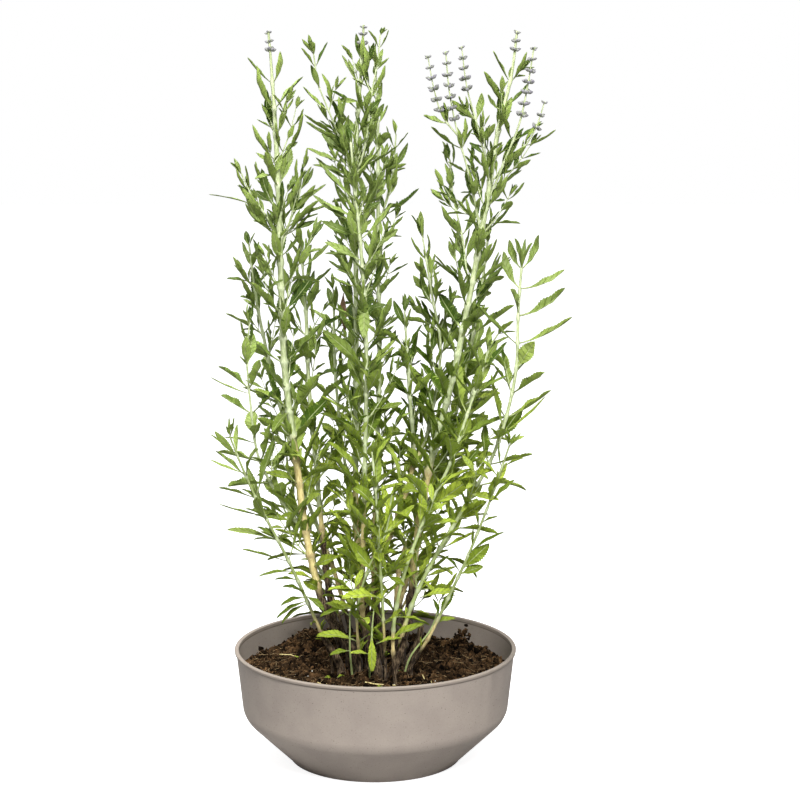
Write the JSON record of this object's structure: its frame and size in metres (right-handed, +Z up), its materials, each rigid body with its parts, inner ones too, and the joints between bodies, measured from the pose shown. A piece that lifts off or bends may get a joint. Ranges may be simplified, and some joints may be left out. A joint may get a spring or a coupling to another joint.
{
  "type": "potted russian sage",
  "caption": "Bushy russian sage with toothed grey-green leaves, woody stem bases and lavender bud spikes, standing in soil in a wide low plastic bowl pot.",
  "frame": {"origin": "centre of the pot's flat base", "axes": "+Z up along the pot's axis; the plant's pictured front faces -Y, with +X to its right"},
  "size_m": [0.3763, 0.3, 0.7741],
  "materials": {
    "pot_plastic": "matte taupe moulded plastic with fine dark specks",
    "peat_soil": "rough dark brown crumbly peat",
    "stem": "pale silvery green young stem, tan to dark brown bark low down",
    "leaf": "soft matte grey-green toothed leaf, yellow-green near the soil",
    "bud": "felted grey lavender flower bud"
  },
  "bodies": {
    "root": {"pot": "pot_plastic", "soil": "peat_soil", "spray_left_main": "leaf", "spray_left_back": "leaf", "spray_left_low": "leaf", "spray_centre_front": "leaf", "spray_centre_main": "leaf", "spray_centre_back": "leaf", "spray_dark_fork": "leaf", "spray_right_main": "leaf", "spray_right_outer": "leaf", "spray_right_back": "leaf", "spray_right_low": "leaf", "spray_front_left": "leaf", "spray_front_right": "leaf", "spray_back_left": "leaf", "spray_back_middle": "leaf", "spray_back_right": "leaf", "spray_back_low_left": "leaf", "spray_back_low_right": "leaf"}
  },
  "joints": []
}
